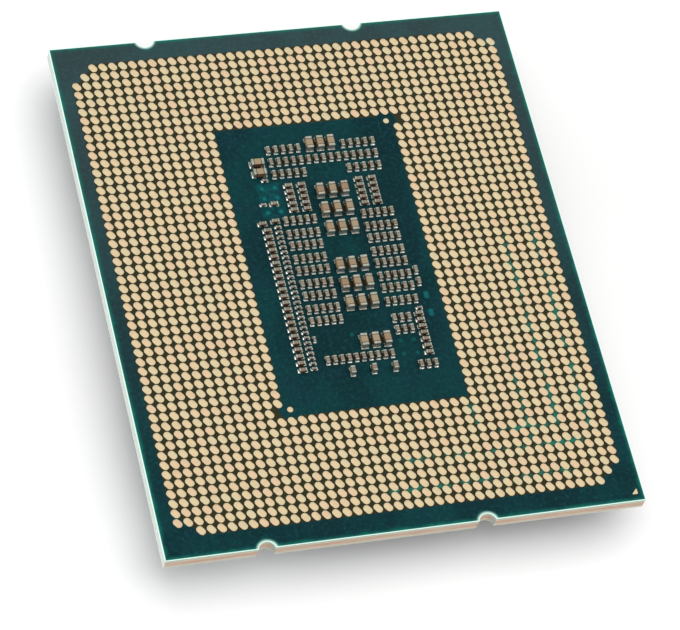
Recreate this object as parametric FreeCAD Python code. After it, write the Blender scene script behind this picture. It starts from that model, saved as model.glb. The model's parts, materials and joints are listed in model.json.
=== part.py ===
import FreeCAD, Part
import os
from math import cos, hypot, radians, sin

# A processor package lying lid down: a laminate substrate with a field of gold contact
# lands and a window of small capacitors on its upper face, and a metal lid below that
# covers the silicon die. Millimetres; origin at the centre of the lid's outer face,
# +Y along the long side, +Z towards the contact lands.

# Substrate
package_width = 37.5
package_length = 45.0
package_height = 4.4            # lid's outer face to the contact plane
core_thickness = 0.40
plane_thickness = 0.02          # solid copper on each side of the core
buildup_thickness = 0.31
mask_thickness = 0.03
notch_radius = 0.70
notch_depth = 0.55
notch_left = -11.0              # places of the two half-round keys on each short edge
notch_right = 6.1

# Contact lands
land_pitch = 0.80
land_width = 0.55
land_length = 0.77
land_tilt = 35.0                # degrees from +Y towards -X
land_thickness = 0.02
side_margin = 1.10              # bare border outside the field, along X and along Y
end_margin = 1.60
dot_clearance = 0.90            # a land nearer than this to a fiducial dot is left out

# Window for the capacitors, in the middle of the field
window_width = 14.0
window_top = 13.3
window_bottom = -11.7

# Marks
dot_diameter = 0.46
dot_right = (6.75, 13.05)
dot_left = (-6.75, -11.40)
pin_mark_size = 0.50
pin_mark_inset_x = 0.50
pin_mark_inset_y = 0.58
lid_side_mark_size = 0.90

# Two-terminal chips: length, width, height and length of each metal end
large_chip = (1.06, 0.56, 0.55, 0.24)
tall_chip = (0.62, 0.36, 0.50, 0.16)
medium_chip = (0.60, 0.30, 0.30, 0.15)
small_chip = (0.40, 0.20, 0.20, 0.11)
terminal_wrap = 0.01            # metal end stands this much proud of the ceramic body
pad_border = 0.02
solder_reach = 0.07
solder_rise = 0.55              # share of the chip's height that the solder climbs

# Banks of chips: x and y of the left top chip, columns, rows, step to the right, step down.
# Upright banks have the chips' long axis along Y, flat banks along X.
large_upright = [(-0.03, 11.49, 3, 1, 0.88, 0), (-0.11, 7.18, 3, 3, 0.985, 1.715),
                 (-0.12, 0.39, 3, 3, 0.985, 1.685), (0.22, -6.41, 3, 1, 0.92, 0)]
large_flat = [(-4.54, 10.17, 1, 2, 0, 0.91)]
tall_upright = [(-1.25, -8.85, 3, 1, 1.70, 0)]
medium_upright = [(-3.40, 11.30, 5, 1, 0.612, 0), (2.71, 11.30, 5, 1, 0.612, 0),
                  (-3.41, 10.19, 15, 1, 0.612, 0),
                  (-3.40, 9.08, 5, 1, 0.612, 0), (2.72, 9.07, 5, 1, 0.612, 0),
                  (-3.41, 4.81, 5, 5, 0.575, 2.255), (-3.41, 3.61, 5, 4, 0.575, 2.255),
                  (2.89, 4.81, 5, 4, 0.57, 2.26), (2.89, 3.61, 5, 4, 0.57, 2.26),
                  (5.79, -0.67, 1, 2, 0, 1.04), (3.08, -4.68, 3, 2, 0.59, 1.02),
                  (-2.94, -7.68, 10, 1, 0.57, 0), (4.22, -8.89, 3, 1, 0.585, 0)]
medium_flat = [(-2.52, 7.93, 2, 5, 1.05, 0.553), (3.21, 7.94, 2, 5, 1.07, 0.553),
               (-5.05, 4.10, 1, 22, 0, 0.5900), (-5.30, 4.74, 1, 1, 0, 0),
               (-4.24, 4.88, 1, 1, 0, 0), (-3.98, 6.43, 1, 1, 0, 0),
               (5.11, -4.50, 1, 7, 0, 0.573)]
small_upright = [(-3.55, -5.75, 1, 1, 0, 0)]
small_flat = [(-4.14, 4.35, 1, 29, 0, 0.45), (-4.25, 8.62, 1, 1, 0, 0),
              (-4.85, 6.45, 1, 1, 0, 0), (5.27, -4.02, 1, 1, 0, 0)]

# Lid and what it covers
sealant_thickness = 0.12
flange_setback_x = 3.1
flange_setback_y = 2.2
ear_setback = 1.6
ear_length = 17.0
plateau_step_x = 1.5
plateau_step_y = 1.4
plateau_rise = 1.40             # lid's outer face to the ledge
lid_wall = 3.6
lid_corner_radius = 1.2
lid_edge_round = 0.25
sealant_inset = 0.35
vent_width = 5.0
die_width = 10.5
die_length = 20.5
die_thickness = 0.78
bump_height = 0.08
thermal_thickness = 0.28
thermal_inset = 0.15
underfill_reach = 0.90
underfill_rise = 0.45

# Levels along Z
mask_top = package_height - land_thickness
core_top = mask_top - mask_thickness - buildup_thickness - plane_thickness
core_bottom = core_top - core_thickness
substrate_bottom = core_bottom - plane_thickness - buildup_thickness - mask_thickness
lid_foot = substrate_bottom - sealant_thickness
die_back = substrate_bottom - bump_height - die_thickness
lid_ceiling = die_back - thermal_thickness


def vec(x, y, z=0.0):
    return FreeCAD.Vector(x, y, z)


def export(name, solids):
    shape = solids[0] if len(solids) == 1 else Part.makeCompound(solids)
    shape.exportStep("parts/" + name + ".step")
    print(name, len(solids), "solids")


def box(width, length, height, x, y, z):
    """A block centred on x, y that stands on z."""
    return Part.makeBox(width, length, height, vec(x - width / 2, y - length / 2, z))


def prism(points, z, height):
    wire = Part.makePolygon([vec(x, y, z) for x, y in points + points[:1]])
    return Part.Face(wire).extrude(vec(0, 0, height))


def rounded_plate(width, length, height, z, radius):
    plate = box(width, length, height, 0, 0, z)
    uprights = [e for e in plate.Edges if abs(e.Vertexes[0].Z - e.Vertexes[1].Z) > height / 2]
    return plate.makeFillet(radius, uprights)


# Substrate layers: every layer has the package's outline and its four keys

def layer(z, thickness):
    plate = box(package_width, package_length, thickness, 0, 0, z)
    keys = []
    for end in (-1, 1):
        for x in (notch_left, notch_right):
            y = end * (package_length / 2 + notch_radius - notch_depth)
            keys.append(Part.makeCylinder(notch_radius, thickness, vec(x, y, z)))
    return plate.cut(Part.makeCompound(keys))


def make_substrate():
    stack = [("die_side_solder_mask", mask_thickness), ("die_side_buildup", buildup_thickness),
             ("die_side_copper_plane", plane_thickness), ("core_laminate", core_thickness),
             ("land_side_copper_plane", plane_thickness), ("land_side_buildup", buildup_thickness),
             ("land_side_solder_mask", mask_thickness)]
    z = substrate_bottom
    for name, thickness in stack:
        export(name, layer(z, thickness).Solids)
        z += thickness


# Contact lands: a centred grid with the window, four trimmed corners and two gaps left out

def make_land():
    """One land: a plate with round ends, its long axis tilted from +Y."""
    radius = land_width / 2
    half = land_length / 2 - radius
    ends = [vec(-radius, -half), vec(radius, -half), vec(radius, half), vec(-radius, half)]
    outline = Part.Wire([
        Part.Arc(ends[0], vec(0, -half - radius), ends[1]).toShape(),
        Part.makeLine(ends[1], ends[2]),
        Part.Arc(ends[2], vec(0, half + radius), ends[3]).toShape(),
        Part.makeLine(ends[3], ends[0])])
    land = Part.Face(outline).extrude(vec(0, 0, land_thickness))
    land.rotate(vec(0, 0), vec(0, 0, 1), land_tilt)
    land.translate(vec(0, 0, mask_top))
    return land


def in_trimmed_corner(column, row, columns, rows):
    """Two lands are missing from each corner's end row, and a third at two of the corners."""
    from_side = min(column, columns - 1 - column)
    from_end = min(row, rows - 1 - row)
    at_left = column < columns / 2
    at_top = row >= rows / 2
    if from_end == 0:
        return from_side < 2
    return from_end == 1 and from_side == 0 and at_left == at_top


def land_places():
    columns = 2 * int((package_width / 2 - side_margin) / land_pitch)
    rows = 2 * int((package_length / 2 - end_margin) / land_pitch)
    keep_out = land_length / 2
    places = {"far": [], "near": [], "left": [], "right": []}
    for row in range(rows):
        y = (row - (rows - 1) / 2) * land_pitch
        for column in range(columns):
            x = (column - (columns - 1) / 2) * land_pitch
            if in_trimmed_corner(column, row, columns, rows):
                continue
            if min(hypot(x - dot[0], y - dot[1]) for dot in (dot_left, dot_right)) < dot_clearance:
                continue
            if y > window_top + keep_out:
                places["far"].append((x, y))
            elif y < window_bottom - keep_out:
                places["near"].append((x, y))
            elif x < -window_width / 2 - keep_out:
                places["left"].append((x, y))
            elif x > window_width / 2 + keep_out:
                places["right"].append((x, y))
    return places


def make_lands():
    land = make_land()
    for side, places in land_places().items():
        export("contact_lands_" + side, [land.translated(vec(x, y)) for x, y in places])


def make_marks():
    dots = [Part.makeCylinder(dot_diameter / 2, land_thickness, vec(x, y, mask_top))
            for x, y in (dot_left, dot_right)]
    export("fiducial_dots", dots)
    x = package_width / 2 - pin_mark_inset_x
    y = -package_length / 2 + pin_mark_inset_y
    corner = [(x - pin_mark_size, y), (x, y), (x, y + pin_mark_size)]
    export("pin_one_mark", [prism(corner, mask_top, land_thickness)])
    corner = [(x - lid_side_mark_size, y), (x, y), (x, y + lid_side_mark_size)]
    z = substrate_bottom - land_thickness
    export("lid_side_pin_one_mark", [prism(corner, z, land_thickness)])


# Chips in the window

def grid(x, y, columns, rows, dx, dy):
    """Places in columns and rows from the left top one, dx to the right and dy down."""
    return [(x + i * dx, y - j * dy) for j in range(rows) for i in range(columns)]


def bank_places(banks):
    places = []
    for bank in banks:
        places += grid(*bank)
    return places


def make_chip(size):
    """Body, metal ends, pads and solder of one chip along X, on the mask at the origin."""
    length, width, height, end = size
    floor = mask_top + land_thickness
    body = box(length - 2 * end, width - 2 * terminal_wrap, height - 2 * terminal_wrap,
               0, 0, floor + terminal_wrap)
    ends = []
    pads = []
    solder = []
    for side in (-1, 1):
        tip = side * length / 2
        ends.append(box(end, width, height, side * (length - end) / 2, 0, floor))
        pad_length = end + solder_reach + pad_border
        pads.append(box(pad_length, width + 2 * pad_border, land_thickness,
                        side * ((length - end) / 2 + (solder_reach + pad_border) / 2), 0, mask_top))
        slope = Part.makePolygon([
            vec(tip, -width / 2, floor), vec(tip + side * solder_reach, -width / 2, floor),
            vec(tip, -width / 2, floor + solder_rise * height), vec(tip, -width / 2, floor)])
        solder.append(Part.Face(slope).extrude(vec(0, width, 0)))
    return {"bodies": [body], "terminals": ends, "pads": pads, "solder": solder}


def placed(solids, upright, flat):
    """Copies of the solids at every chip, turned to lie along Y in the upright banks."""
    copies = []
    for solid in solids:
        turned = solid.copy()
        turned.rotate(vec(0, 0), vec(0, 0, 1), 90)
        copies += [turned.translated(vec(x, y)) for x, y in bank_places(upright)]
        copies += [solid.translated(vec(x, y)) for x, y in bank_places(flat)]
    return copies


def make_chips():
    families = [("large_capacitor", large_chip, large_upright, large_flat),
                ("tall_capacitor", tall_chip, tall_upright, []),
                ("medium_capacitor", medium_chip, medium_upright, medium_flat),
                ("small_chip", small_chip, small_upright, small_flat)]
    pads = []
    solder = []
    for name, size, upright, flat in families:
        chip = make_chip(size)
        export(name + "_bodies", placed(chip["bodies"], upright, flat))
        export(name + "_terminals", placed(chip["terminals"], upright, flat))
        pads += placed(chip["pads"], upright, flat)
        solder += placed(chip["solder"], upright, flat)
    export("chip_pads", pads)
    export("chip_solder_joints", solder)


# Lid, sealant, die and what joins them

flange_width = package_width - 2 * flange_setback_x
flange_length = package_length - 2 * flange_setback_y
ear_width = package_width - 2 * ear_setback
plateau_width = flange_width - 2 * plateau_step_x
plateau_length = flange_length - 2 * plateau_step_y
cavity_width = flange_width - 2 * lid_wall
cavity_length = flange_length - 2 * lid_wall


def make_lid():
    plateau = rounded_plate(plateau_width, plateau_length, plateau_rise, 0, lid_corner_radius)
    rim = [e for e in plateau.Edges if max(v.Z for v in e.Vertexes) < plateau_rise / 2]
    plateau = plateau.makeFillet(lid_edge_round, rim)
    thickness = lid_foot - plateau_rise
    flange = rounded_plate(flange_width, flange_length, thickness, plateau_rise, lid_corner_radius)
    ears = rounded_plate(ear_width, ear_length, thickness, plateau_rise, lid_corner_radius)
    base = flange.fuse(ears).removeSplitter()
    cavity = rounded_plate(cavity_width, cavity_length, lid_foot - lid_ceiling, lid_ceiling,
                           lid_corner_radius)
    export("heat_spreader", plateau.fuse(base).removeSplitter().cut(cavity).Solids)


def make_sealant():
    """A bead round the lid's foot, broken by a vent at one end."""
    bead = rounded_plate(flange_width - 2 * sealant_inset, flange_length - 2 * sealant_inset,
                         sealant_thickness, lid_foot, lid_corner_radius)
    hollow = rounded_plate(cavity_width + 2 * sealant_inset, cavity_length + 2 * sealant_inset,
                           sealant_thickness, lid_foot, lid_corner_radius)
    vent = box(vent_width, flange_length / 2, sealant_thickness, 0, flange_length / 2, lid_foot)
    export("lid_sealant", bead.cut(hollow).cut(vent).Solids)


def rectangle(width, length, z):
    corners = [vec(-width / 2, -length / 2, z), vec(width / 2, -length / 2, z),
               vec(width / 2, length / 2, z), vec(-width / 2, length / 2, z)]
    return Part.makePolygon(corners + corners[:1])


def make_die():
    die = box(die_width, die_length, die_thickness, 0, 0, die_back)
    bumps = box(die_width, die_length, bump_height, 0, 0, die_back + die_thickness)
    skirt = Part.makeLoft([
        rectangle(die_width + 2 * underfill_reach, die_length + 2 * underfill_reach, substrate_bottom),
        rectangle(die_width + pad_border, die_length + pad_border,
                  substrate_bottom - bump_height - underfill_rise)], True)
    export("silicon_die", [die])
    export("solder_bump_layer", [bumps])
    export("underfill", skirt.cut(die).cut(bumps).Solids)
    export("thermal_interface", [box(die_width - 2 * thermal_inset, die_length - 2 * thermal_inset,
                                     thermal_thickness, 0, 0, lid_ceiling)])


os.makedirs("parts", exist_ok=True)
make_substrate()
make_lands()
make_marks()
make_chips()
make_lid()
make_sealant()
make_die()
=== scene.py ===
import bpy
import json
import math
import numpy as np
from mathutils import Matrix, Vector


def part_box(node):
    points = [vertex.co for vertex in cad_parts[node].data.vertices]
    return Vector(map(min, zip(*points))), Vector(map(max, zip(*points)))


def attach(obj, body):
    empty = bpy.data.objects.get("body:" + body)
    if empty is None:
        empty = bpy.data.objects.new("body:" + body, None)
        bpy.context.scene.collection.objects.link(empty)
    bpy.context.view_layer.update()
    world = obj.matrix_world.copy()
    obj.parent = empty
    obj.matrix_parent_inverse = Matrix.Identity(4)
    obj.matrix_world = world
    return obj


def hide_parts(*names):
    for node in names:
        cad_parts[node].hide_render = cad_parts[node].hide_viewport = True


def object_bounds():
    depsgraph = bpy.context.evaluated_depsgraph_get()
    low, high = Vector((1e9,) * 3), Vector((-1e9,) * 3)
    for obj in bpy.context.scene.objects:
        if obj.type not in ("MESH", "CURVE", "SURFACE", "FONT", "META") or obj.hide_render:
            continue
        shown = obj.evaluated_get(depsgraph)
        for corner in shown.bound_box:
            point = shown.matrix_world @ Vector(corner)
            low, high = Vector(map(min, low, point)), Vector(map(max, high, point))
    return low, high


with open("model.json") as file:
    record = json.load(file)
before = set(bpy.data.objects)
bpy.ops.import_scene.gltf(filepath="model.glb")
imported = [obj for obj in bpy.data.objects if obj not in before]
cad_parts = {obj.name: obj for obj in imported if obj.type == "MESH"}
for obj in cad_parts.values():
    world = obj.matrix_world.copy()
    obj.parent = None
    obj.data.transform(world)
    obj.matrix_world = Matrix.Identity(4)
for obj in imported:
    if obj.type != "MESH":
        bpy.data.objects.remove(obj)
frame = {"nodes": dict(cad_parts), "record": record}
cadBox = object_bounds()
nodes = frame["nodes"]
mounts = {mount["name"]: Vector(mount["pos_m"]) for mount in frame["record"]["mounts"]}
mm = 0.001
print("frame loaded,", len(nodes), "nodes")


class Signal:
    # a node socket that plain maths can be written on: 1 - mask, mask * 0.5, a + b
    def __init__(self, finish, socket):
        self.finish = finish
        self.socket = socket

    def maths(self, operation, first, second):
        return self.finish.node("ShaderNodeMath", {"operation": operation}, {0: first, 1: second})

    def __add__(self, other):
        return self.maths("ADD", self, other)

    def __radd__(self, other):
        return self.maths("ADD", other, self)

    def __sub__(self, other):
        return self.maths("SUBTRACT", self, other)

    def __rsub__(self, other):
        return self.maths("SUBTRACT", other, self)

    def __mul__(self, other):
        return self.maths("MULTIPLY", self, other)

    def __rmul__(self, other):
        return self.maths("MULTIPLY", other, self)

    def __abs__(self):
        return self.maths("ABSOLUTE", self, 0.0)

    def least(self, other):
        return self.maths("MINIMUM", self, other)

    def most(self, other):
        return self.maths("MAXIMUM", self, other)


class Finish:
    # one material: its node tree, the shader and the means to add nodes
    def __init__(self, name):
        self.material = bpy.data.materials.new(name)
        self.material.use_nodes = True
        self.tree = self.material.node_tree
        self.shader = self.tree.nodes["Principled BSDF"]

    def node(self, kind, settings=None, inputs=None, output=0):
        made = self.tree.nodes.new(kind)
        for key, value in (settings or {}).items():
            setattr(made, key, value)
        for key, value in (inputs or {}).items():
            if isinstance(value, Signal):
                self.tree.links.new(value.socket, made.inputs[key])
            else:
                made.inputs[key].default_value = value
        return Signal(self, made.outputs[output])

    def into(self, **values):
        # sets the shader's own sockets, named in camelCase after them
        names = {"baseColor": "Base Color", "roughness": "Roughness", "metallic": "Metallic",
                 "specular": "Specular IOR Level", "normal": "Normal"}
        for key, value in values.items():
            socket = self.shader.inputs[names[key]]
            if isinstance(value, Signal):
                self.tree.links.new(value.socket, socket)
            else:
                socket.default_value = (*value, 1) if isinstance(value, tuple) else value

    def parts(self, vector):
        # x, y and z of a vector, as three signals from one node
        split = self.node("ShaderNodeSeparateXYZ", {}, {0: vector}).socket.node
        return [Signal(self, output) for output in split.outputs]

    def places(self):
        # the point in millimetres, as one vector and as x, y, z
        point = self.node("ShaderNodeVectorMath", {"operation": "SCALE"},
                          {0: self.node("ShaderNodeTexCoord", output=3), "Scale": 1 / mm})
        return point, self.parts(point)

    def facing(self):
        # which way the surface looks: its normal as x, y, z
        return self.parts(self.node("ShaderNodeNewGeometry", output=1))

    def noise(self, point, scale, detail=3.0, roughness=0.5, distortion=0.0, stretch=None):
        # cloudy values round 0.5: scale is cells to a millimetre, and stretch times it per axis
        if stretch:
            point = self.node("ShaderNodeVectorMath", {"operation": "MULTIPLY"}, {0: point, 1: stretch})
        return self.node("ShaderNodeTexNoise", {}, {"Vector": point, "Scale": scale, "Detail": detail,
                                                     "Roughness": roughness, "Distortion": distortion})

    def mix(self, factor, first, second):
        pair = [(*c, 1) if isinstance(c, tuple) else c for c in (first, second)]
        return self.node("ShaderNodeMix", {"data_type": "RGBA"},
                         {0: factor, 6: pair[0], 7: pair[1]}, output=2)

    def attribute(self, name):
        return self.node("ShaderNodeAttribute", {"attribute_name": name}, {}, output=2)

    def away(self, x, y):
        # the length of a vector in the board's plane
        across = self.node("ShaderNodeCombineXYZ", {}, {0: x, 1: y, 2: 0.0})
        return self.node("ShaderNodeVectorMath", {"operation": "LENGTH"}, {0: across}, output=1)

    def fade(self, value, start, end):
        # 0 before start, 1 after end, smooth between them
        return self.node("ShaderNodeMapRange", {"interpolation_type": "SMOOTHSTEP"},
                         {"Value": value, "From Min": start, "From Max": end})

    def bump(self, height, distance, strength=1.0):
        return self.node("ShaderNodeBump", {}, {"Height": height, "Distance": distance,
                                                 "Strength": strength})


def srgb(red, green, blue):
    # a screen colour of 0 to 255 as linear light
    def linear(value):
        value /= 255
        return value / 12.92 if value <= 0.04045 else ((value + 0.055) / 1.055) ** 2.4
    return linear(red), linear(green), linear(blue)


def solidBoxes(node):
    # lowest and highest corner of every separate solid in a CAD node: equal points are
    # joined, then the smallest label spreads along the triangles until nothing changes
    mesh = nodes[node].data
    points = np.zeros(len(mesh.vertices) * 3)
    mesh.vertices.foreach_get("co", points)
    points = points.reshape(-1, 3)
    mesh.calc_loop_triangles()
    corners = np.zeros(len(mesh.loop_triangles) * 3, np.int64)
    mesh.loop_triangles.foreach_get("vertices", corners)
    keys, same = np.unique(np.round(points / 1e-7).astype(np.int64), axis=0, return_inverse=True)
    same = same.reshape(-1)
    triangles = same[corners].reshape(-1, 3)
    label = np.arange(len(keys))
    while True:
        lowest = label[triangles].min(axis=1)
        spread = label.copy()
        for side in range(3):
            np.minimum.at(spread, triangles[:, side], lowest)
        spread = spread[spread]
        if np.array_equal(spread, label):
            break
        label = spread
    groups, member = np.unique(label[same], return_inverse=True)
    low = np.full((len(groups), 3), np.inf)
    high = np.full((len(groups), 3), -np.inf)
    np.minimum.at(low, member.reshape(-1), points)
    np.maximum.at(high, member.reshape(-1), points)
    return low, high


def makePiece(name, points, faces, finish, replaces=(), smooth=None, normals=None,
              creaseAngle=None):
    mesh = bpy.data.meshes.new(name)
    mesh.from_pydata(np.asarray(points).reshape(-1, 3).tolist(), [], faces)
    if creaseAngle is not None:
        mesh.polygons.foreach_set("use_smooth", [True] * len(mesh.polygons))
        mesh.set_sharp_from_angle(angle=math.radians(creaseAngle))
    if smooth is not None:
        mesh.polygons.foreach_set("use_smooth", smooth)
    if normals is not None:
        mesh.polygons.foreach_set("use_smooth", [True] * len(mesh.polygons))
        mesh.normals_split_custom_set_from_vertices(np.asarray(normals).reshape(-1, 3).tolist())
    mesh.materials.append(finish.material)
    mesh.update()
    piece = bpy.data.objects.new(name, mesh)
    bpy.context.scene.collection.objects.link(piece)
    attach(piece, "root")
    if replaces:
        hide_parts(*replaces)
    return piece


def ringFaces(rings, count):
    # quads between stacked rings of count points, and the caps at both ends
    around = np.arange(count)
    ahead = (around + 1) % count
    quads = np.concatenate([np.stack([r * count + around, r * count + ahead,
                                      (r + 1) * count + ahead, (r + 1) * count + around], 1)
                            for r in range(rings - 1)])
    return quads, [around[::-1], (rings - 1) * count + around]


def repeatedFaces(quads, caps, points, copies):
    # the same faces for every copy, each copy's points following the last one's
    shift = np.arange(copies)[:, None, None] * points
    faces = (quads[None] + shift).reshape(-1, quads.shape[1]).tolist()
    for cap in caps:
        faces += (np.asarray(cap)[None, :] + np.arange(copies)[:, None] * points).tolist()
    return faces


def addTone(piece, values, name="tone"):
    # one value per point, which the finish reads as an attribute
    layer = piece.data.attributes.new(name, "FLOAT", "POINT")
    layer.data.foreach_set("value", np.asarray(values, dtype=np.float32))


board = {
    "halfWidth": (cadBox[1][0] - cadBox[0][0]) / 2 / mm,
    "halfLength": (cadBox[1][1] - cadBox[0][1]) / 2 / mm,
    "keyRadius": 0.70,
    "keyDepth": 0.55,
    "keys": [mounts["key_far_left"].x / mm, mounts["key_far_right"].x / mm],
}

maskLook = {
    "deep": srgb(3, 39, 43),
    "teal": srgb(4, 49, 52),
    "blue": srgb(12, 41, 53),
    "light": srgb(16, 66, 68),
    "dark": srgb(2, 28, 33),
    "paintedSheen": srgb(142, 150, 146),
    "paintedSheenShare": 0.075,
    "paintedSheenFrom": -21.0,
    "paintedSheenTo": 22.0,
    "rim": srgb(10, 98, 86),
    "rimReach": 0.50,
    "rimWander": 0.35,
    "bare": srgb(206, 232, 222),
    "bareReach": 0.09,
    "keyReach": 0.26,
    "gap": srgb(44, 40, 18),
    # colour of the painted shade and warm reflected light between neighbouring chips
    "paintedGapShade": srgb(46, 40, 25),
    "via": srgb(6, 112, 114),
    "trace": srgb(24, 108, 92),
    "cloudNoise": {"scale": 0.55, "detail": 5, "roughness": 0.62},
    "patchNoise": {"scale": 0.23, "detail": 3, "distortion": 0.4,
                   "stretch": (1.0, 0.55, 1.0)},
    "mottleNoise": {"scale": 3.2, "detail": 4, "roughness": 0.7},
    "breaksNoise": {"scale": 1.1, "detail": 3, "roughness": 0.7},
    "veinNoise": {"scale": 2.4, "detail": 3, "roughness": 0.6, "distortion": 0.8},
    "wanderNoise": {"scale": 1.3, "detail": 2},
    "grainNoise": {"scale": 9.0, "detail": 3, "roughness": 0.6},
}

# what shows through the mask, in millimetres: the fields' edges, vias and pads as circles of x
# and y, and runs of copper under the gaps between lands as place across, start and end along
maskPattern = {
    "field": {"halfWidth": 17.52, "halfLength": 20.78, "corner": 36.175, "blur": 0.10,
              "cornerBlur": 0.125},
    "window": {"halfWidth": 7.26, "bottom": -11.99, "top": 13.56, "blur": 0.06},
    "patch": {"left": -5.05, "right": -3.15, "bottom": 5.25, "top": 8.35},
    "patchVias": [(x, y) for x in (-4.60, -3.57) for y in (7.94, 7.03, 5.75)],
    "pads": [(6.13, y) for y in (-2.80, -3.04, -4.36, -4.60)],
    "dots": [(6.75, 13.05), (-6.75, -11.40)],
    "faintVias": [(3.13, -6.64), (4.19, -6.64), (3.13, -7.81), (4.22, -7.81), (-0.54, -5.64)],
    "upright": [(13.6, -15.2, 2.6), (16.0, -16.0, 2.6), (11.2, -17.0, -8.5), (7.2, -14.8, -12.4)],
    "runHalfWidth": 0.2,
    "flat": [(-16.8, 0.8, 15.2), (-19.2, -0.8, 13.6), (-15.2, 8.8, 12.8)],
}


def edgeDistance(finish, x, y):
    # millimetres from the nearest sawn edge or key, and from the nearest key alone, worked out
    # from the outline
    sides = (board["halfWidth"] - abs(x)).least(board["halfLength"] - abs(y))
    keys = None
    centre = board["halfLength"] + board["keyRadius"] - board["keyDepth"]
    for place in board["keys"]:
        away = finish.away(x - place, abs(y) - centre) - board["keyRadius"]
        keys = away if keys is None else keys.least(away)
    return sides.least(keys), keys


def below(finish, value, limit, blur):
    # 1 under the limit and 0 over it, soft over the blur
    return finish.fade(value, limit + blur, limit - blur)


def discs(finish, x, y, places, radius, blur):
    # 1 inside any of the circles and 0 outside, soft over the blur
    nearest = None
    for place in places:
        away = finish.away(x - place[0], y - place[1])
        nearest = away if nearest is None else nearest.least(away)
    return below(finish, nearest, radius, blur)


# neighbours line up to within the slip and leave no more than the gap, in millimetres; a box
# covers a share of the chips' length to each side of their middles
runShape = {"slip": 0.08, "gap": 0.5, "share": 0.42}


def chipRuns():
    # chips that stand side by side, as the middle and half size of the box that holds the gaps
    # between them: it ends at the first and last chip's own middle
    boxes = [solidBoxes(kind + "_bodies") for kind in ("large_capacitor", "medium_capacitor",
                                                       "small_chip")]
    low = np.concatenate([box[0] for box in boxes])[:, :2] / mm
    high = np.concatenate([box[1] for box in boxes])[:, :2] / mm
    middle, size = (low + high) / 2, high - low
    runs = []
    for along, across in ((0, 1), (1, 0)):
        chosen = np.flatnonzero(size[:, across] > size[:, along])
        order = chosen[np.lexsort((middle[chosen, along], np.round(middle[chosen, across], 1)))]
        step = np.diff(middle[order], axis=0)
        gap = step[:, along] - size[order[:-1], along]
        apart = (np.abs(step[:, across]) > runShape["slip"]) | (gap < 0) | (gap > runShape["gap"])
        for run in np.split(order, np.flatnonzero(apart) + 1):
            if len(run) > 1:
                first, last = middle[run[0]], middle[run[-1]]
                half = np.abs(last - first) / 2
                half[across] = size[run[0], across] * runShape["share"]
                runs.append(((first + last) / 2, half))
    return runs


def band(finish, value, start, end, blur):
    # 1 between start and end, soft at both
    return finish.fade(value, start - blur, start + blur) * below(finish, value, end, blur)


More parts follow.
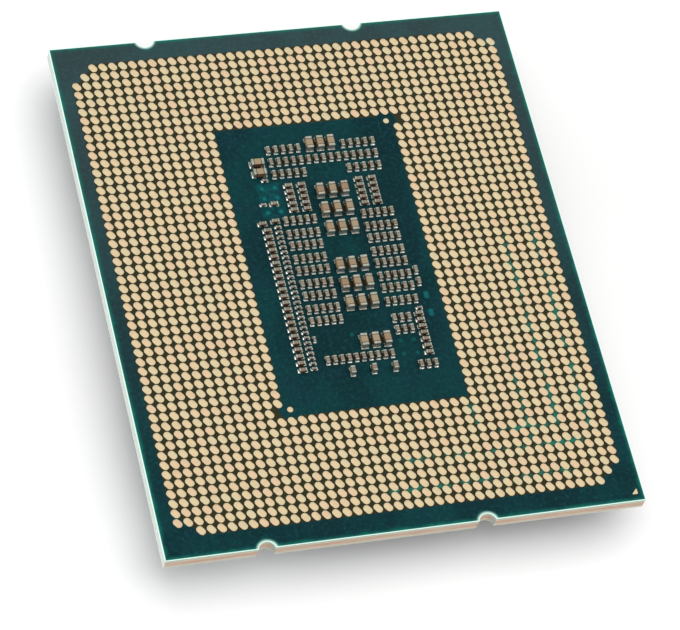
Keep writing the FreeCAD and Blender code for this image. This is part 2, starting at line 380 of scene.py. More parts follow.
def maskFinish(landSide):
    finish = Finish("solderMaskLandSide" if landSide else "solderMaskLidSide")
    look = maskLook
    pattern = maskPattern
    point, (x, y, z) = finish.places()
    cloud = finish.noise(point, **look["cloudNoise"])
    patch = finish.noise(point, **look["patchNoise"])
    mottle = finish.noise(point, **look["mottleNoise"])
    colour = finish.mix(finish.fade(patch, 0.40, 0.62), look["deep"], look["teal"])
    colour = finish.mix(finish.fade(cloud, 0.50, 0.72) * 0.6, colour, look["blue"])
    colour = finish.mix(finish.fade(mottle, 0.50, 0.68) * 0.55, colour, look["light"])
    colour = finish.mix(finish.fade(mottle, 0.48, 0.34) * 0.45, colour, look["dark"])
    if landSide:
        limits, hole = pattern["field"], pattern["window"]
        inside = (below(finish, abs(x), limits["halfWidth"], limits["blur"])
                  * below(finish, abs(y), limits["halfLength"], limits["blur"])
                  * below(finish, abs(x) + abs(y), limits["corner"], limits["cornerBlur"]))
        window = (below(finish, abs(x), hole["halfWidth"], hole["blur"])
                  * band(finish, y, hole["bottom"], hole["top"], hole["blur"]))
        window = window.most(discs(finish, x, y, pattern["dots"], 0.88, 0.12))
        # painted sheen: outside the window the mask is mixed towards a pale grey, more and more towards
        # +y
        paintedSheen = finish.fade(y, look["paintedSheenFrom"], look["paintedSheenTo"]) * (1 - window)
        colour = finish.mix(paintedSheen * look["paintedSheenShare"], colour, look["paintedSheen"])
        field = inside * (1 - window)
        colour = finish.mix(field * 0.9, colour, look["gap"])
        runs = None
        half = pattern["runHalfWidth"]
        for across, along, places in ((x, y, pattern["upright"]), (y, x, pattern["flat"])):
            for place, start, end in places:
                run = (band(finish, across, place - half, place + half, 0.12)
                       * band(finish, along, start, end, 0.5))
                runs = run if runs is None else runs.most(run)
        breaks = finish.noise(point, **look["breaksNoise"])
        broken = finish.fade(breaks, 0.42, 0.60)
        colour = finish.mix(runs * field * broken * 0.78, colour, look["trace"])
        # painted shade and warm reflected light in the gaps between neighbouring chips: inside each
        # run's box the mask is darkened to a warm brown
        chipGapDistance = None
        for middle, half in chipRuns():
            away = (abs(x - middle[0]) - half[0]).most(abs(y - middle[1]) - half[1])
            chipGapDistance = away if chipGapDistance is None else chipGapDistance.least(away)
        stainAndGapShade = finish.fade(chipGapDistance + (mottle - 0.5) * 0.12, 0.10, -0.05)
        colour = finish.mix(stainAndGapShade * 0.9, colour, look["paintedGapShade"])
        region = pattern["patch"]
        area = (band(finish, x, region["left"], region["right"], 0.18)
                * band(finish, y, region["bottom"], region["top"], 0.25))
        vein = finish.noise(point, **look["veinNoise"])
        colour = finish.mix(area * (0.05 + finish.fade(vein, 0.38, 0.62) * 0.16), colour, look["via"])
        spots = discs(finish, x, y, pattern["patchVias"], 0.15, 0.12)
        spots = spots.most(discs(finish, x, y, pattern["pads"], 0.20, 0.10) * 0.80)
        spots = spots.most(discs(finish, x, y, pattern["faintVias"], 0.16, 0.10) * 0.45)
        colour = finish.mix(spots * 0.60, colour, look["via"])
    distance, fromKey = edgeDistance(finish, x, y)
    wander = finish.noise(point, **look["wanderNoise"])
    ragged = distance + (wander - 0.5) * look["rimWander"]
    rim = finish.fade(ragged, look["rimReach"], 0.0)
    colour = finish.mix(rim * (0.25 + rim * 0.75), colour, look["rim"])
    bare = finish.fade(distance, look["bareReach"], look["bareReach"] * 0.5)
    colour = finish.mix(bare, colour, look["bare"])
    ring = finish.fade(fromKey, look["keyReach"], look["bareReach"])
    colour = finish.mix(ring * 0.42, colour, look["bare"])
    grain = finish.noise(point, **look["grainNoise"])
    finish.into(baseColor=colour, roughness=0.42 + grain * 0.12, specular=0.04,
                normal=finish.bump(grain + mottle, 0.004 * mm, 0.5))
    return finish


goldLook = {
    "pale": srgb(195, 176, 140),
    "pink": srgb(198, 167, 138),
    "green": srgb(187, 178, 144),
    "edge": srgb(184, 174, 146),
    "stainAndGapShade": srgb(168, 146, 112),
    "roughness": 0.50,
    "cloudNoise": {"scale": 2.6, "detail": 3, "roughness": 0.6},
    "stainNoise": {"scale": 1.6, "detail": 4, "roughness": 0.6},
    "scuffNoise": {"scale": 5.0, "detail": 3, "roughness": 0.6, "stretch": (1.0, 7.0, 1.0)},
}


def goldFinish():
    finish = Finish("contactGold")
    look = goldLook
    point, (x, y, z) = finish.places()
    tone = finish.attribute("tone")
    cloud = finish.noise(point, **look["cloudNoise"])
    blush = finish.fade(tone + cloud * 0.5, 0.80, 1.30)
    colour = finish.mix(blush * 0.6, look["pale"], look["pink"])
    colour = finish.mix(finish.fade(tone, 0.38, 0.0) * 0.6, colour, look["green"])
    # painted sheen: the lands' rims are mixed towards a greyer, more neutral gold than their centres
    rim = finish.attribute("rim")
    colour = finish.mix(finish.fade(rim, 0.35, 1.0) * 0.55, colour, look["edge"])
    stainAndGapShade = finish.noise(point, **look["stainNoise"])
    colour = finish.mix(finish.fade(stainAndGapShade, 0.45, 0.75) * 0.35, colour, look["stainAndGapShade"])
    scuff = finish.noise(point, **look["scuffNoise"])
    finish.into(baseColor=colour, metallic=0.45, roughness=look["roughness"] + scuff * 0.14,
                specular=0.3, normal=finish.bump(scuff, 0.003 * mm, 0.4))
    return finish


filmLook = {
    "cream": srgb(186, 178, 161),
    "mint": srgb(150, 182, 165),
    "straw": srgb(181, 162, 140),
    "paintedSideLight": srgb(166, 184, 178),
    "pliesNoise": {"scale": 1.0, "detail": 3, "roughness": 0.55, "stretch": (0.25, 0.25, 12.0)},
    "roughness": 0.62,
    "sawDepth": 0.008,
    "sawShare": 0.4,
}


def sawnInto(finish, point, colour, look):
    # walls that face along X are mixed towards a paler colour, painted light falling on them from the
    # side
    across, along, up = finish.facing()
    colour = finish.mix(finish.fade(abs(across), 0.5, 0.9) * 0.85, colour, look["paintedSideLight"])
    saw = finish.noise(point, 1.6, 2, stretch=(6.0, 6.0, 0.8))
    finish.into(baseColor=colour, roughness=look["roughness"], specular=0.35,
                normal=finish.bump(saw, look["sawDepth"] * mm, look["sawShare"]))


def filmFinish():
    finish = Finish("buildupFilm")
    look = filmLook
    point, (x, y, z) = finish.places()
    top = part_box("land_side_buildup")[1].z / mm
    depth = top - z
    colour = finish.mix(finish.fade(depth, 0.05, 0.24), look["mint"], look["cream"])
    plies = finish.noise(point, **look["pliesNoise"])
    colour = finish.mix(finish.fade(plies, 0.45, 0.7) * 0.4, colour, look["straw"])
    sawnInto(finish, point, colour, look)
    return finish


coreLook = {
    "salmon": srgb(179, 149, 128),
    "rust": srgb(164, 112, 90),
    "cream": srgb(187, 171, 151),
    "paintedSideLight": srgb(170, 182, 176),
    "strandsNoise": {"scale": 1.0, "detail": 4, "roughness": 0.6, "stretch": (0.35, 0.35, 9.0)},
    "streakNoise": {"scale": 1.0, "detail": 2, "stretch": (0.22, 0.22, 14.0)},
    "roughness": 0.66,
    "sawDepth": 0.010,
    "sawShare": 0.5,
}


def coreFinish():
    finish = Finish("coreLaminate")
    look = coreLook
    point, (x, y, z) = finish.places()
    strands = finish.noise(point, **look["strandsNoise"])
    colour = finish.mix(finish.fade(strands, 0.42, 0.62), look["salmon"], look["cream"])
    streak = finish.noise(point, **look["streakNoise"])
    colour = finish.mix(finish.fade(streak, 0.52, 0.68) * 0.8, colour, look["rust"])
    sawnInto(finish, point, colour, look)
    return finish


ceramicLook = {
    "capacitorCeramicTan": {"light": srgb(137, 121, 93), "deep": srgb(127, 103, 76),
                            "cloud": srgb(131, 123, 104)},
    "capacitorCeramicGrey": {"light": srgb(118, 114, 99), "deep": srgb(114, 99, 83),
                             "cloud": srgb(114, 117, 105)},
    "capacitorCeramicSmall": {"light": srgb(103, 110, 103), "deep": srgb(102, 97, 88),
                              "cloud": srgb(97, 108, 102)},
    # colour of the painted shade on the chips' walls
    "side": srgb(96, 52, 35),
    "speck": srgb(86, 64, 48),
    "cloudNoise": {"scale": 2.6, "detail": 4, "roughness": 0.6},
    "grainNoise": {"scale": 22.0, "detail": 2, "roughness": 0.7},
}


def ceramicFinish(name):
    # the tops keep the ceramic's pale dusty colour; the walls are darkened as painted shade
    finish = Finish(name)
    look = ceramicLook[name]
    point, (x, y, z) = finish.places()
    tone = finish.attribute("tone")
    cloud = finish.noise(point, **ceramicLook["cloudNoise"])
    colour = finish.mix(finish.fade(tone, 0.2, 1.0), look["light"], look["deep"])
    colour = finish.mix(finish.fade(cloud, 0.48, 0.7) * 0.5, colour, look["cloud"])
    grain = finish.noise(point, **ceramicLook["grainNoise"])
    colour = finish.mix(finish.fade(grain, 0.62, 0.78) * 0.4, colour, ceramicLook["speck"])
    # painted shade: walls are mixed towards dark brown, most of all on the faces that look along y
    across, along, up = finish.facing()
    paintedWallShade = finish.fade(up, 0.62, 0.25)
    colour = finish.mix(paintedWallShade * (0.25 + abs(along) * 0.65), colour, ceramicLook["side"])
    finish.into(baseColor=colour, roughness=0.44 + grain * 0.2, specular=0.4,
                normal=finish.bump(grain, 0.004 * mm, 0.5))
    return finish


lidLook = {
    "nickel": srgb(184, 181, 174),
    "warm": srgb(176, 171, 160),
    "scuff": srgb(150, 147, 140),
    "cloudNoise": {"scale": 0.12, "detail": 4, "roughness": 0.55},
    "brushNoise": {"scale": 1.0, "detail": 4, "roughness": 0.65, "stretch": (9.0, 0.35, 1.0)},
    "scratchNoise": {"scale": 0.8, "detail": 2, "distortion": 0.6,
                     "stretch": (0.5, 16.0, 1.0)},
    "grainNoise": {"scale": 7.0, "detail": 3, "roughness": 0.65},
}


def lidFinish():
    finish = Finish("lidNickel")
    look = lidLook
    point, (x, y, z) = finish.places()
    cloud = finish.noise(point, **look["cloudNoise"])
    colour = finish.mix(finish.fade(cloud, 0.4, 0.65), look["nickel"], look["warm"])
    brush = finish.noise(point, **look["brushNoise"])
    scratch = finish.noise(point, **look["scratchNoise"])
    colour = finish.mix(finish.fade(scratch, 0.66, 0.74) * 0.5, colour, look["scuff"])
    grain = finish.noise(point, **look["grainNoise"])
    finish.into(baseColor=colour, metallic=1.0, roughness=0.20 + brush * 0.14 + grain * 0.06,
                normal=finish.bump(brush + grain * 0.6, 0.006 * mm, 0.5))
    return finish


# two-colour finishes: scales are noise cells to a millimetre, relief is the bump's height in
# millimetres, and a fine scale gives the bump a pattern of its own
plainLook = {
    "copperLine": {"first": srgb(214, 128, 96), "second": srgb(168, 92, 66), "fade": (0.4, 0.65),
                   "metallic": 0.7, "roughness": 0.45, "uneven": 0.2, "scale": 1.0, "detail": 3,
                   "stretch": (0.8, 0.8, 2.0), "relief": 0.004, "strength": 0.4},
    "terminalTin": {"first": srgb(144, 145, 133), "second": srgb(118, 117, 105),
                    "fade": (0.42, 0.66), "metallic": 0.6, "roughness": 0.24, "uneven": 0.16,
                    "scale": 5.0, "fine": 26.0, "relief": 0.005},
    "solder": {"first": srgb(224, 226, 228), "second": srgb(150, 146, 130), "fade": (0.5, 0.75),
               "share": 0.6, "metallic": 0.9, "roughness": 0.22, "uneven": 0.22, "scale": 4.0,
               "detail": 3, "relief": 0.010, "strength": 0.5},
    "sealantSilicone": {"first": srgb(20, 20, 21), "second": srgb(36, 36, 37), "roughness": 0.5,
                        "scale": 1.4, "fine": 12.6, "relief": 0.02},
    "siliconDie": {"first": srgb(62, 66, 76), "second": srgb(92, 96, 104), "metallic": 0.4,
                   "roughness": 0.22, "scale": 0.6, "fine": 5.4, "relief": 0.001},
    "underfillEpoxy": {"first": srgb(18, 20, 30), "second": srgb(38, 40, 52), "roughness": 0.35,
                       "scale": 1.2, "fine": 10.8, "relief": 0.01},
    "indiumSolder": {"first": srgb(168, 168, 172), "second": srgb(200, 200, 202), "metallic": 0.95,
                     "roughness": 0.35, "scale": 1.0, "fine": 9.0, "relief": 0.01},
}


def plainFinish(name):
    finish = Finish(name)
    look = {"fade": (0.38, 0.66), "share": 1.0, "metallic": 0.0, "detail": 4, "stretch": None,
            "strength": 0.6, **plainLook[name]}
    point, (x, y, z) = finish.places()
    cloud = finish.noise(point, look["scale"], look["detail"], 0.6, stretch=look["stretch"])
    grain = finish.noise(point, look["fine"], 2, 0.6) if "fine" in look else cloud
    change = cloud * look["uneven"] if "uneven" in look else grain * 0.15
    factor = finish.fade(cloud, *look["fade"]) * look["share"]
    finish.into(baseColor=finish.mix(factor, look["first"], look["second"]),
                metallic=look["metallic"], roughness=look["roughness"] + change,
                normal=finish.bump(grain, look["relief"] * mm, look["strength"]))
    return finish


maskTop = maskFinish(True)
maskUnder = maskFinish(False)
gold = goldFinish()
film = filmFinish()
core = coreFinish()
copper = plainFinish("copperLine")
ceramicTan = ceramicFinish("capacitorCeramicTan")
ceramicGrey = ceramicFinish("capacitorCeramicGrey")
ceramicSmall = ceramicFinish("capacitorCeramicSmall")
tin = plainFinish("terminalTin")
solder = plainFinish("solder")
nickel = lidFinish()
sealant = plainFinish("sealantSilicone")
silicon = plainFinish("siliconDie")
underfill = plainFinish("underfillEpoxy")
indium = plainFinish("indiumSolder")
print("finishes made")


plateStack = {
    "keyPoints": 19,
    "cornerPoints": 4,
    "cornerRadius": 0.10,
    "layers": [("maskLandSide", "land_side_solder_mask", maskTop, "solder_mask", 0.012),
               ("filmLandSide", "land_side_buildup", film, "laminate_film", 0.006),
               ("copperLandSide", "land_side_copper_plane", copper, "copper", 0.004),
               ("coreBoard", "core_laminate", core, "laminate", 0.006),
               ("copperDieSide", "die_side_copper_plane", copper, "copper", 0.004),
               ("filmDieSide", "die_side_buildup", film, "laminate_film", 0.006),
               ("maskDieSide", "die_side_solder_mask", maskUnder, "solder_mask", 0.012)],
}


def boardOutline(inset):
    # all round the board, drawn in by the inset: corners are quarter arcs and a key is the arc
    # x = place + reach sin(swing), y = centre + reach cos(swing), about a centre past the edge
    halfWidth = board["halfWidth"] - inset
    halfLength = board["halfLength"] - inset
    radius = plateStack["cornerRadius"] - inset
    reach = board["keyRadius"] + inset
    past = board["keyRadius"] - board["keyDepth"] + inset
    half = math.acos(past / reach)
    swing = np.linspace(-half, half, plateStack["keyPoints"])
    quarter = np.linspace(0, math.pi / 2, plateStack["cornerPoints"])

    def nearHalf(keys):
        left = np.stack([-halfWidth + radius + radius * np.cos(math.pi + quarter),
                         -halfLength + radius + radius * np.sin(math.pi + quarter)], 1)
        arcs = [np.stack([key + reach * np.sin(swing), reach * np.cos(swing) - halfLength - past], 1)
                for key in sorted(keys)]
        right = np.stack([halfWidth - radius + radius * np.sin(quarter),
                          -halfLength + radius - radius * np.cos(quarter)], 1)
        return np.concatenate([left] + arcs + [right])
    return np.concatenate([nearHalf(board["keys"]), -nearHalf([-key for key in board["keys"]])]) * mm


def makePlate(name, node, finish, slot, edge):
    low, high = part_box(node)
    edge = edge * mm
    rings = [(edge, low[2]), (0.0, low[2] + edge), (0.0, high[2] - edge), (edge, high[2])]
    outlines = [boardOutline(inset / mm) for inset, height in rings]
    points = np.concatenate([np.column_stack([outline, np.full(len(outline), height)])
                             for outline, (inset, height) in zip(outlines, rings)])
    quads, caps = ringFaces(len(rings), len(outlines[0]))
    makePiece(name, points, quads.tolist() + [cap.tolist() for cap in caps], finish, [node],
              creaseAngle=30)


for layer in plateStack["layers"]:
    makePlate(*layer)
print("board layers made")


landShape = {
    "width": 0.55 * mm,
    "length": 0.77 * mm,
    "corner": 0.25 * mm,
    "tilt": math.radians(35),
    "bevel": 0.008 * mm,
    "dome": 0.0015 * mm,
    "pointsPerCorner": 4,
}


def roundedRectangle(width, length, radius, perCorner):
    # corner arcs one after another: centre of the corner plus radius times cosine and sine
    angles = np.linspace(0, math.pi / 2, perCorner)
    turns = np.arange(4) * math.pi / 2
    angle = (turns[:, None] + angles[None, :]).reshape(-1)
    signX = np.repeat([1, -1, -1, 1], perCorner)
    signY = np.repeat([1, 1, -1, -1], perCorner)
    x = signX * (width / 2 - radius) + radius * np.cos(angle)
    y = signY * (length / 2 - radius) + radius * np.sin(angle)
    return np.stack([x, y], 1)


def makeTiles(name, node, outer, inner, shape, seed):
    # every tile is four rings: foot, shoulder, bevelled edge and the foot of a slight dome;
    # outer and inner hold one outline of x, y points for each tile
    low, high = solidBoxes(node)
    copies, count = outer.shape[:2]
    middle = outer.mean(axis=1, keepdims=True)
    rings = [(outer, low[0, 2]), (outer, high[0, 2] - shape["bevel"]),
             (inner, high[0, 2] - shape["dome"]), (middle + (inner - middle) * 0.55, high[0, 2])]
    points = np.concatenate([np.concatenate([flat, np.full((copies, count, 1), height)], 2)
                             for flat, height in rings], 1)
    quads, caps = ringFaces(len(rings), count)
    faces = repeatedFaces(quads, caps, count * len(rings), copies)
    isTop = np.repeat([False, False, True], count)
    smooth = np.concatenate([np.tile(isTop, copies), np.zeros(copies, bool), np.ones(copies, bool)])
    piece = makePiece(name, points, faces, gold, [node], smooth)
    addTone(piece, np.repeat(np.random.default_rng(seed).random(copies), count * len(rings)))
    addTone(piece, np.tile(np.repeat([1.0, 1.0, 1.0, 0.0], count), copies), "rim")


def makeLands(side, seed):
    shape = landShape
    low, high = solidBoxes("contact_lands_" + side)
    centre = ((low + high) / 2)[:, None, :2]
    bevel = shape["bevel"]
    turn = np.array([[math.cos(shape["tilt"]), math.sin(shape["tilt"])],
                     [-math.sin(shape["tilt"]), math.cos(shape["tilt"])]])
    outer = roundedRectangle(shape["width"], shape["length"], shape["corner"], shape["pointsPerCorner"])
    inner = roundedRectangle(shape["width"] - 2 * bevel, shape["length"] - 2 * bevel,
                             shape["corner"] - bevel, shape["pointsPerCorner"])
    makeTiles("lands" + side.capitalize(), "contact_lands_" + side, centre + outer @ turn,
              centre + inner @ turn, shape, seed)


for seed, side in enumerate(("far", "near", "left", "right")):
    makeLands(side, 40 + seed)
print("lands made")


markShape = {"bevel": 0.008 * mm, "dome": 0.002 * mm, "dotPoints": 24, "corner": 0.05 * mm,
             "pointsPerCorner": 4}


def makeDots():
    # a circle of points about the middle of each dot
    low, high = solidBoxes("fiducial_dots")
    centre = ((low + high) / 2)[:, None, :2]
    radius = (high[0, 0] - low[0, 0]) / 2
    angle = np.arange(markShape["dotPoints"]) * 2 * math.pi / markShape["dotPoints"]
    circle = np.stack([np.cos(angle), np.sin(angle)], 1)
    makeTiles("fiducialDots", "fiducial_dots", centre + circle * radius,
              centre + circle * (radius - markShape["bevel"]), markShape, 31)


def makeCornerMark(name, node, seed):
    # a right-angled triangle in its box, its right angle at +x, -y; each corner is an arc about
    # the point that lies one radius inside both of its sides
    low, high = solidBoxes(node)
    size = high[0, 0] - low[0, 0]

    def outline(inset):
        # moving the sides in by the inset keeps the shape and makes it smaller
        radius = markShape["corner"]
        corners = np.array([[-size, 0.0], [0.0, 0.0], [0.0, size]])
        depth = size * (1 - math.sqrt(0.5))
        middle = np.array([-1.0, 1.0]) * depth
        centres = middle + (corners - middle) * (1 - (radius + inset) / depth)
        starts = np.radians([135, 270, 0])
        sweeps = np.radians([135, 90, 135])
        share = np.linspace(0, 1, markShape["pointsPerCorner"])
        angle = starts[:, None] + sweeps[:, None] * share[None, :]
        arcs = centres[:, None, :] + radius * np.stack([np.cos(angle), np.sin(angle)], 2)
        return arcs.reshape(1, -1, 2) + np.array([high[0, 0], low[0, 1]])
    makeTiles(name, node, outline(0.0), outline(markShape["bevel"]), markShape, seed)


makeDots()
makeCornerMark("pinOneMark", "pin_one_mark", 32)
makeCornerMark("lidSidePinOneMark", "lid_side_pin_one_mark", 33)
print("marks made")


chipShape = {
    "large_capacitor": {"bodyEdge": 0.050, "endEdge": 0.055, "ceramic": ceramicTan},
    "tall_capacitor": {"bodyEdge": 0.020, "endEdge": 0.030, "ceramic": ceramicGrey},
    "medium_capacitor": {"bodyEdge": 0.028, "endEdge": 0.034, "ceramic": ceramicGrey},
    "small_chip": {"bodyEdge": 0.012, "endEdge": 0.020, "ceramic": ceramicSmall},
}


def bevelledBlocks(low, high, edge):
    # every block has 24 points, four to a face: a face's corners are drawn in by the bevel
    # in the two directions that lie in that face
    signs = np.array([[x, y, z] for x in (-1, 1) for y in (-1, 1) for z in (-1, 1)])
    sides = np.arange(3)
    inset = 1 - (sides[None, :] == sides[:, None])
    centre = (low + high) / 2
    half = (high - low) / 2
    reach = half[:, None, None, :] - edge * inset[None, None, :, :]
    points = centre[:, None, None, :] + signs[None, :, None, :] * reach
    normals = np.broadcast_to(signs[:, None, :] * (1 - inset)[None, :, :], (8, 3, 3))
    normals = np.broadcast_to(normals[None], (len(low), 8, 3, 3))
    return points.reshape(len(low), 24, 3), normals.reshape(len(low), 24, 3)


def blockFaces():
    # faces of one bevelled block: 6 flats, 12 bevels and 8 corners, turned outwards
    signs = [(x, y, z) for x in (-1, 1) for y in (-1, 1) for z in (-1, 1)]
    points = bevelledBlocks(-np.ones((1, 3)), np.ones((1, 3)), 0.3)[0][0]

    def corner(side, ways):
        # the point that belongs to one face at the corner where the three axes go these ways
        return 3 * signs.index(tuple(ways[axis] for axis in range(3))) + side

    def outwards(face):
        a, b, c = points[face[:3]]
        return face if np.cross(b - a, c - a) @ points[face].mean(axis=0) > 0 else face[::-1]
    quads = []
    for side, first, second in ((0, 1, 2), (1, 0, 2), (2, 0, 1)):
        for way in (-1, 1):
            quads.append([corner(side, {side: way, first: a, second: b})
                          for a, b in ((-1, -1), (1, -1), (1, 1), (-1, 1))])
        for a in (-1, 1):
            for b in (-1, 1):
                low, high = [{side: way, first: a, second: b} for way in (-1, 1)]
                quads.append([corner(first, low), corner(first, high),
                              corner(second, high), corner(second, low)])
    triangles = [[3 * i, 3 * i + 1, 3 * i + 2] for i in range(8)]
    return (np.array([outwards(face) for face in quads]),
            np.array([outwards(face) for face in triangles]))


blockQuads, blockTriangles = blockFaces()


def makeBlocks(name, node, edge, finish, seed):
    low, high = solidBoxes(node)
    points, normals = bevelledBlocks(low, high, edge * mm)
    faces = (repeatedFaces(blockQuads, [], 24, len(low))
             + repeatedFaces(blockTriangles, [], 24, len(low)))
    piece = makePiece(name, points, faces, finish, [node], normals=normals)
    addTone(piece, np.repeat(np.random.default_rng(seed).random(len(low)), 24))


chipNames = {"large_capacitor": "largeCapacitor", "tall_capacitor": "tallCapacitor",
             "medium_capacitor": "mediumCapacitor", "small_chip": "smallChip"}
for seed, (node, shape) in enumerate(chipShape.items()):
    makeBlocks(chipNames[node] + "Bodies", node + "_bodies", shape["bodyEdge"], shape["ceramic"],
               60 + seed)
    makeBlocks(chipNames[node] + "Ends", node + "_terminals", shape["endEdge"], tin, 70 + seed)
print("chips made")


padShape = {"corner": 0.035 * mm, "bevel": 0.006 * mm, "dome": 0.002 * mm, "pointsPerCorner": 3}


def makePads():
    shape = padShape
    low, high = solidBoxes("chip_pads")
    centre = ((low + high) / 2)[:, None, :2]
    size = (high - low)[:, None, :2]

    def outline(inset):
        # a rounded rectangle of unit corners, stretched to each pad's own half sizes
        radius = shape["corner"] - inset
        arcs = roundedRectangle(2 * radius, 2 * radius, radius, shape["pointsPerCorner"])
        signs = np.repeat([[1, 1], [-1, 1], [-1, -1], [1, -1]], shape["pointsPerCorner"], axis=0)
        return centre + arcs[None] + signs[None] * (size / 2 - shape["corner"])
    makeTiles("chipPads", "chip_pads", outline(0.0), outline(shape["bevel"]), shape, 34)


# half of the fillet's path round a metal end, which mirrors: share of the end's length inwards
# from its tip, share of its half width, outward direction, share of the reach and of the rise
solderShape = {
    "path": [(0.75, -1.0, 0.0, -1.0, 0.10, 0.12), (0.30, -1.0, 0.0, -1.0, 0.24, 0.35),
             (0.04, -0.98, 0.6, -0.8, 0.45, 0.62), (0.0, -0.62, 1.0, -0.15, 0.90, 0.90),
             (0.0, 0.0, 1.0, 0.0, 1.0, 1.0)],
    "hollow": [(0.0, 1.0), (0.28, 0.42), (0.62, 0.12), (1.0, 0.0)],
    "bite": 0.012 * mm,
}


def makeSolder():
    # a concave profile carried round the outer sides of every end: out = reach t and
    # up = rise (1 - t) squared, with its back sunk a little into the metal
    low, high = solidBoxes("chip_solder_joints")
    boxes = [solidBoxes(node + "_terminals") for node in chipShape]
    endLow = np.concatenate([pair[0] for pair in boxes])
    endHigh = np.concatenate([pair[1] for pair in boxes])
    joint = (low + high)[:, :2] / 2
    end = (endLow + endHigh)[:, :2] / 2
    nearest = np.argmin(np.linalg.norm(joint[:, None] - end[None], axis=2), axis=1)
    out = joint - end[nearest]
    alongX = np.abs(out[:, 0]) > np.abs(out[:, 1])
    out = np.where(alongX[:, None], [1.0, 0.0], [0.0, 1.0]) * np.sign(out)
    side = np.stack([-out[:, 1], out[:, 0]], 1)
    size = (endHigh - endLow)[nearest, :2]
    length = np.where(alongX, size[:, 0], size[:, 1])[:, None, None]
    half = np.where(alongX, size[:, 1], size[:, 0])[:, None, None] / 2
    tip = end[nearest] + out * length[:, 0] / 2
    reach = np.min(high - low, axis=1, where=[True, True, False], initial=1.0)[:, None, None]
    rise = (high - low)[:, 2][:, None, None]
    path = np.array(solderShape["path"])
    path = np.concatenate([path, path[-2::-1] * [1, -1, 1, -1, 1, 1]])
    profile = np.array([(-1.0, 0.0), (-1.0, 1.0)] + solderShape["hollow"][1:])
    inward, across, turnX, turnY, share, lift = [column[None, :, None] for column in path.T]
    step = np.where(profile[:, 0] < 0, -solderShape["bite"],
                    profile[:, 0] * reach * share)
    forward = -inward * length + turnX * step
    sideways = across * half + turnY * step
    flat = (tip[:, None, None] + out[:, None, None] * forward[..., None]
            + side[:, None, None] * sideways[..., None])
    height = low[:, 2][:, None, None] + profile[:, 1] * rise * lift
    points = np.concatenate([flat, height[..., None]], 3)
    count = len(profile)
    quads, caps = ringFaces(len(path), count)
    faces = repeatedFaces(quads, caps, count * len(path), len(low))
    makePiece("solderFillets", points, faces, solder, ["chip_solder_joints"], creaseAngle=50)


makePads()
makeSolder()
print("pads and solder made")


lidShape = {
    "footRound": 0.12,
    "ledgeRound": 0.18,
    "plateauRound": 0.28,
    "innerFillet": 0.25,
    "cavityRound": 0.10,
    "corner": 1.2,
    "ear": {"halfLength": 8.5, "out": 1.5, "inner": 0.3, "outer": 1.2},
    "plateau": {"halfWidth": 14.15, "halfLength": 18.9},
    "flange": {"halfWidth": 15.65, "halfLength": 20.3},
    "cavity": {"halfWidth": 12.05, "halfLength": 16.7},
    "ledge": 1.40,
    "ceiling": 2.12,
    "arcPoints": 7,
}


def lidOutline(rectangle, inset, ear):
    # a rounded rectangle whose long sides carry an ear that stands out by ear times its full
    # reach: a hollow arc, then a round one, and the same again mirrored
    shape = lidShape
    quarter = np.linspace(0, math.pi / 2, shape["arcPoints"])
    radius = max(shape["corner"] - inset, 0.2)
    halfWidth = rectangle["halfWidth"] - inset
    halfLength = rectangle["halfLength"] - inset
    tab = shape["ear"]
    hollow = np.stack([tab["inner"] * (1 - np.cos(quarter)),
                       tab["inner"] * (np.sin(quarter) - 1) - tab["halfLength"]], 1)
    crown = np.stack([tab["out"] - tab["outer"] + tab["outer"] * np.sin(quarter),
                      tab["outer"] * (1 - np.cos(quarter)) - tab["halfLength"]], 1)
    lower = np.concatenate([hollow, crown[1:]])
    upper = lower[::-1] * [1, -1]
    side = np.concatenate([lower, upper]) * [ear, 1] + [halfWidth, 0]
    side[:, 1] -= np.sign(side[:, 1]) * inset * ear
    corner = np.stack([halfWidth - radius + radius * np.cos(quarter),
                       halfLength - radius + radius * np.sin(quarter)], 1)
    rightHalf = np.concatenate([corner[::-1] * [1, -1], side, corner])
    return np.concatenate([rightHalf, -rightHalf]) * mm


def roundedStep(start, end, steps, outwards):
    # a quarter arc between two (inset, height) points, bulging outwards or hollow
    share = np.linspace(0, math.pi / 2, steps)
    first = np.sin(share) if outwards else 1 - np.cos(share)
    second = 1 - np.cos(share) if outwards else np.sin(share)
    return [(start[0] + (end[0] - start[0]) * a, start[1] + (end[1] - start[1]) * b)
            for a, b in zip(first, second)]


def makeLid():
    # one closed shell: flat face, plateau wall, ledge, flange wall, foot, cavity wall, ceiling
    shape = lidShape
    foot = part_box("heat_spreader")[1][2] / mm
    plateau, flange, cavity = shape["plateau"], shape["flange"], shape["cavity"]
    edge, ledge, level = shape["plateauRound"], shape["ledgeRound"], shape["ledge"]
    fillet, lip, mouth = shape["innerFillet"], shape["footRound"], shape["cavityRound"]
    # each arc: whose outline, how far its ear stands out, start, end, points and which way it bulges
    arcs = [(plateau, 0.0, (edge, 0.0), (0.0, edge), 6, True),
            (plateau, 0.0, (0.0, level - fillet), (-fillet, level), 5, False),
            (flange, 1.0, (ledge, level), (0.0, level + ledge), 5, True),
            (flange, 1.0, (0.0, foot - lip), (lip, foot), 5, False),
            (cavity, 0.0, (-mouth, foot), (0.0, foot - mouth), 4, True)]
    rings = [(rectangle, inset, height, ear) for rectangle, ear, start, end, steps, outwards in arcs
             for inset, height in roundedStep(start, end, steps, outwards)]
    rings.append((cavity, 0.0, shape["ceiling"], 0.0))
    outlines = [lidOutline(rectangle, inset, ear) for rectangle, inset, height, ear in rings]
    points = np.concatenate([np.column_stack([outline, np.full(len(outline), ring[2] * mm)])
                             for outline, ring in zip(outlines, rings)])
    quads, caps = ringFaces(len(rings), len(outlines[0]))
    makePiece("lid", points, quads.tolist() + [cap.tolist() for cap in caps], nickel,
              ["heat_spreader"], creaseAngle=35)


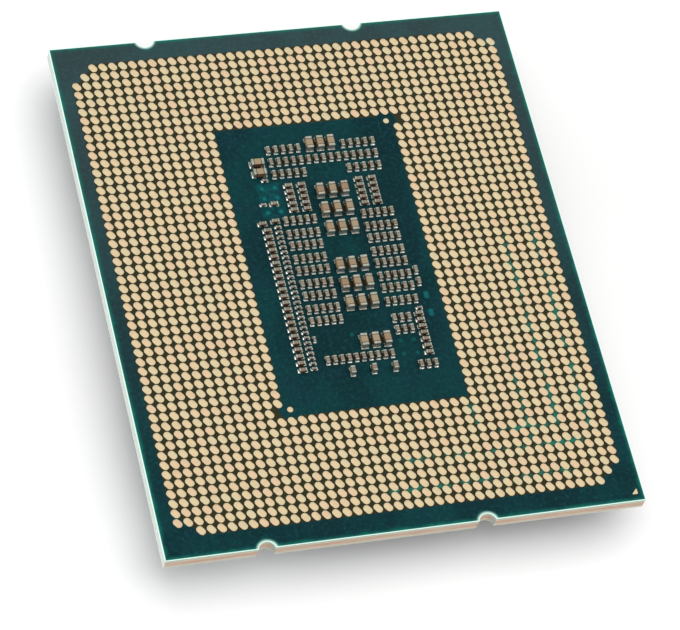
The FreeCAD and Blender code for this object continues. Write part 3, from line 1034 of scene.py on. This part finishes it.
# the waves are turns to a millimetre, phase and share; the ends narrow over the taper's length
beadShape = {
    "wander": 0.10,
    "waves": [(0.9, 0.0, 0.5), (2.3, 1.0, 0.3), (5.1, 2.0, 0.2)],
    "bulge": 0.10,
    "setback": 0.35,
    "vent": 5.0,
    "taper": 1.2,
    "endWidth": 0.55,
    "corner": 2.6,
    "squareness": 0.25,
    "pathPoints": 300,
    "profilePoints": 16,
    "cornerPoints": 24,
}


def makeBead():
    # a flattened round section carried round the lid's foot, from one side of the vent to the
    # other: out = half width cos(angle), up = half height times the fourth root of sin(angle)
    shape = beadShape
    low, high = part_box("lid_sealant")
    cavity = lidShape["cavity"]
    inner = (cavity["halfWidth"] + shape["setback"], cavity["halfLength"] + shape["setback"])
    outer = (high[0] / mm, high[1] / mm)
    halfWidth, halfLength = [(a + b) / 2 for a, b in zip(inner, outer)]
    count = shape["cornerPoints"]
    arcs = roundedRectangle(2 * halfWidth, 2 * halfLength, shape["corner"], count)
    # starts in the middle of the far side, so the vent is one straight cut
    start = np.array([[0.0, halfLength]])
    loop = np.concatenate([start, arcs[count:], arcs[:count], start])
    run = np.concatenate([[0], np.cumsum(np.linalg.norm(np.diff(loop, axis=0), axis=1))])
    at = np.linspace(shape["vent"] / 2, run[-1] - shape["vent"] / 2, shape["pathPoints"])
    place = np.stack([np.interp(at, run, loop[:, 0]), np.interp(at, run, loop[:, 1])], 1)
    ahead = np.gradient(place, axis=0)
    ahead /= np.linalg.norm(ahead, axis=1, keepdims=True)
    out = np.stack([-ahead[:, 1], ahead[:, 0]], 1)
    ripple = sum(np.sin(at * turns + phase) * share for turns, phase, share in shape["waves"])
    half = (outer[0] - inner[0]) / 2 - shape["bulge"] + shape["wander"] * ripple
    ends = np.clip(np.minimum(at - at[0], at[-1] - at) / shape["taper"], 0, 1)
    half = half * (shape["endWidth"] + (1 - shape["endWidth"]) * np.sqrt(ends))
    angle = np.arange(shape["profilePoints"]) * 2 * math.pi / shape["profilePoints"]
    across = np.cos(angle)
    up = np.sign(np.sin(angle)) * np.abs(np.sin(angle)) ** shape["squareness"]
    middle = (low[2] + high[2]) / 2
    thick = (high[2] - low[2]) / 2
    flat = (place[:, None] + out[:, None] * (half[:, None] * across[None])[..., None]) * mm
    height = np.broadcast_to(middle + thick * up, flat.shape[:2])
    points = np.concatenate([flat, height[..., None]], 2)
    quads, caps = ringFaces(len(at), len(angle))
    makePiece("sealantBead", points, quads.tolist() + [cap.tolist() for cap in caps], sealant,
              ["lid_sealant"], creaseAngle=60)


makeLid()
makeBead()
print("lid and bead made")


def dress(node, finish):
    part = nodes[node]
    part.data.materials.clear()
    part.data.materials.append(finish.material)


dress("silicon_die", silicon)
dress("underfill", underfill)
dress("solder_bump_layer", solder)
dress("thermal_interface", indium)
print("nodes dressed")


stageLook = {
    "floor": srgb(220, 220, 220),
    "floorPale": srgb(246, 246, 247),
    "cloudNoise": {"scale": 0.02, "detail": 2},
    "size": 3.0,
    "world": 0.67,
    "lights": {
        "key": {"place": (0.12, 0.08, 0.40), "aim": (0, 0, 0), "size": 0.80, "power": 2.05,
                "colour": (1.0, 0.99, 0.975)},
        "card": {"place": (-0.38, 0.0, 0.065), "aim": (0, 0, 0.003), "size": 0.12, "power": 1.1,
                 "colour": (0.96, 1.0, 1.02)},
        "nearCard": {"place": (0.24, -0.34, 0.09), "aim": (0, 0, 0.003), "size": 0.20,
                     "power": 0.36, "colour": (1.0, 0.99, 0.98)},
    },
}


def makeFloor():
    finish = Finish("paleFloor")
    point, (x, y, z) = finish.places()
    cloud = finish.noise(point, **stageLook["cloudNoise"])
    finish.into(baseColor=finish.mix(cloud, stageLook["floor"], stageLook["floorPale"]),
                roughness=0.9, specular=0.0)
    half = stageLook["size"] / 2
    mesh = bpy.data.meshes.new("floor")
    mesh.from_pydata([(-half, -half, 0), (half, -half, 0), (half, half, 0), (-half, half, 0)], [],
                     [(0, 1, 2, 3)])
    mesh.materials.append(finish.material)
    floor = bpy.data.objects.new("floor", mesh)
    bpy.context.scene.collection.objects.link(floor)


def makeLight(name, look):
    # a soft disk that faces its aim
    lamp = bpy.data.lights.new(name, "AREA")
    lamp.shape = "DISK"
    lamp.size = look["size"]
    lamp.energy = look["power"]
    lamp.color = look["colour"]
    light = bpy.data.objects.new(name, lamp)
    light.location = look["place"]
    towards = Vector(look["aim"]) - Vector(look["place"])
    light.rotation_euler = towards.to_track_quat("-Z", "Y").to_euler()
    bpy.context.scene.collection.objects.link(light)


def makeWorld():
    world = bpy.data.worlds.new("softTent")
    bpy.context.scene.world = world
    world.use_nodes = True
    background = world.node_tree.nodes["Background"]
    background.inputs["Color"].default_value = (1.0, 1.0, 1.0, 1)
    background.inputs["Strength"].default_value = stageLook["world"]


mainView = {
    "azimuth": math.radians(-31.0),
    "elevation": math.radians(57.84),
    "roll": math.radians(20.66),
    "distance": 270.9 * mm,
    "lens": 187.7,
    "sensor": 36,
    "clipStart": 0.01,
    "target": (-1.066 * mm, -3.870 * mm, mounts["land_array"].z + 0.012 * mm),
}


def makeCamera():
    view = mainView
    flat = math.cos(view["elevation"])
    back = Vector((math.sin(view["azimuth"]) * flat, -math.cos(view["azimuth"]) * flat,
                   math.sin(view["elevation"])))
    right = (-back).cross(Vector((0, 0, 1))).normalized()
    up = right.cross(-back)
    across = right * math.cos(view["roll"]) + up * math.sin(view["roll"])
    upright = up * math.cos(view["roll"]) - right * math.sin(view["roll"])
    lens = bpy.data.cameras.new("camera")
    lens.lens = view["lens"]
    lens.sensor_width = view["sensor"]
    lens.sensor_fit = "HORIZONTAL"
    lens.clip_start = view["clipStart"]
    camera = bpy.data.objects.new("camera", lens)
    turn = Matrix((across, upright, back)).transposed().to_4x4()
    camera.matrix_world = Matrix.Translation(Vector(view["target"]) + back * view["distance"]) @ turn
    bpy.context.scene.collection.objects.link(camera)
    bpy.context.scene.camera = camera


makeFloor()
makeWorld()
for name, look in stageLook["lights"].items():
    makeLight(name, look)
makeCamera()
bpy.context.scene.view_settings.view_transform = "Standard"
print("stage made")
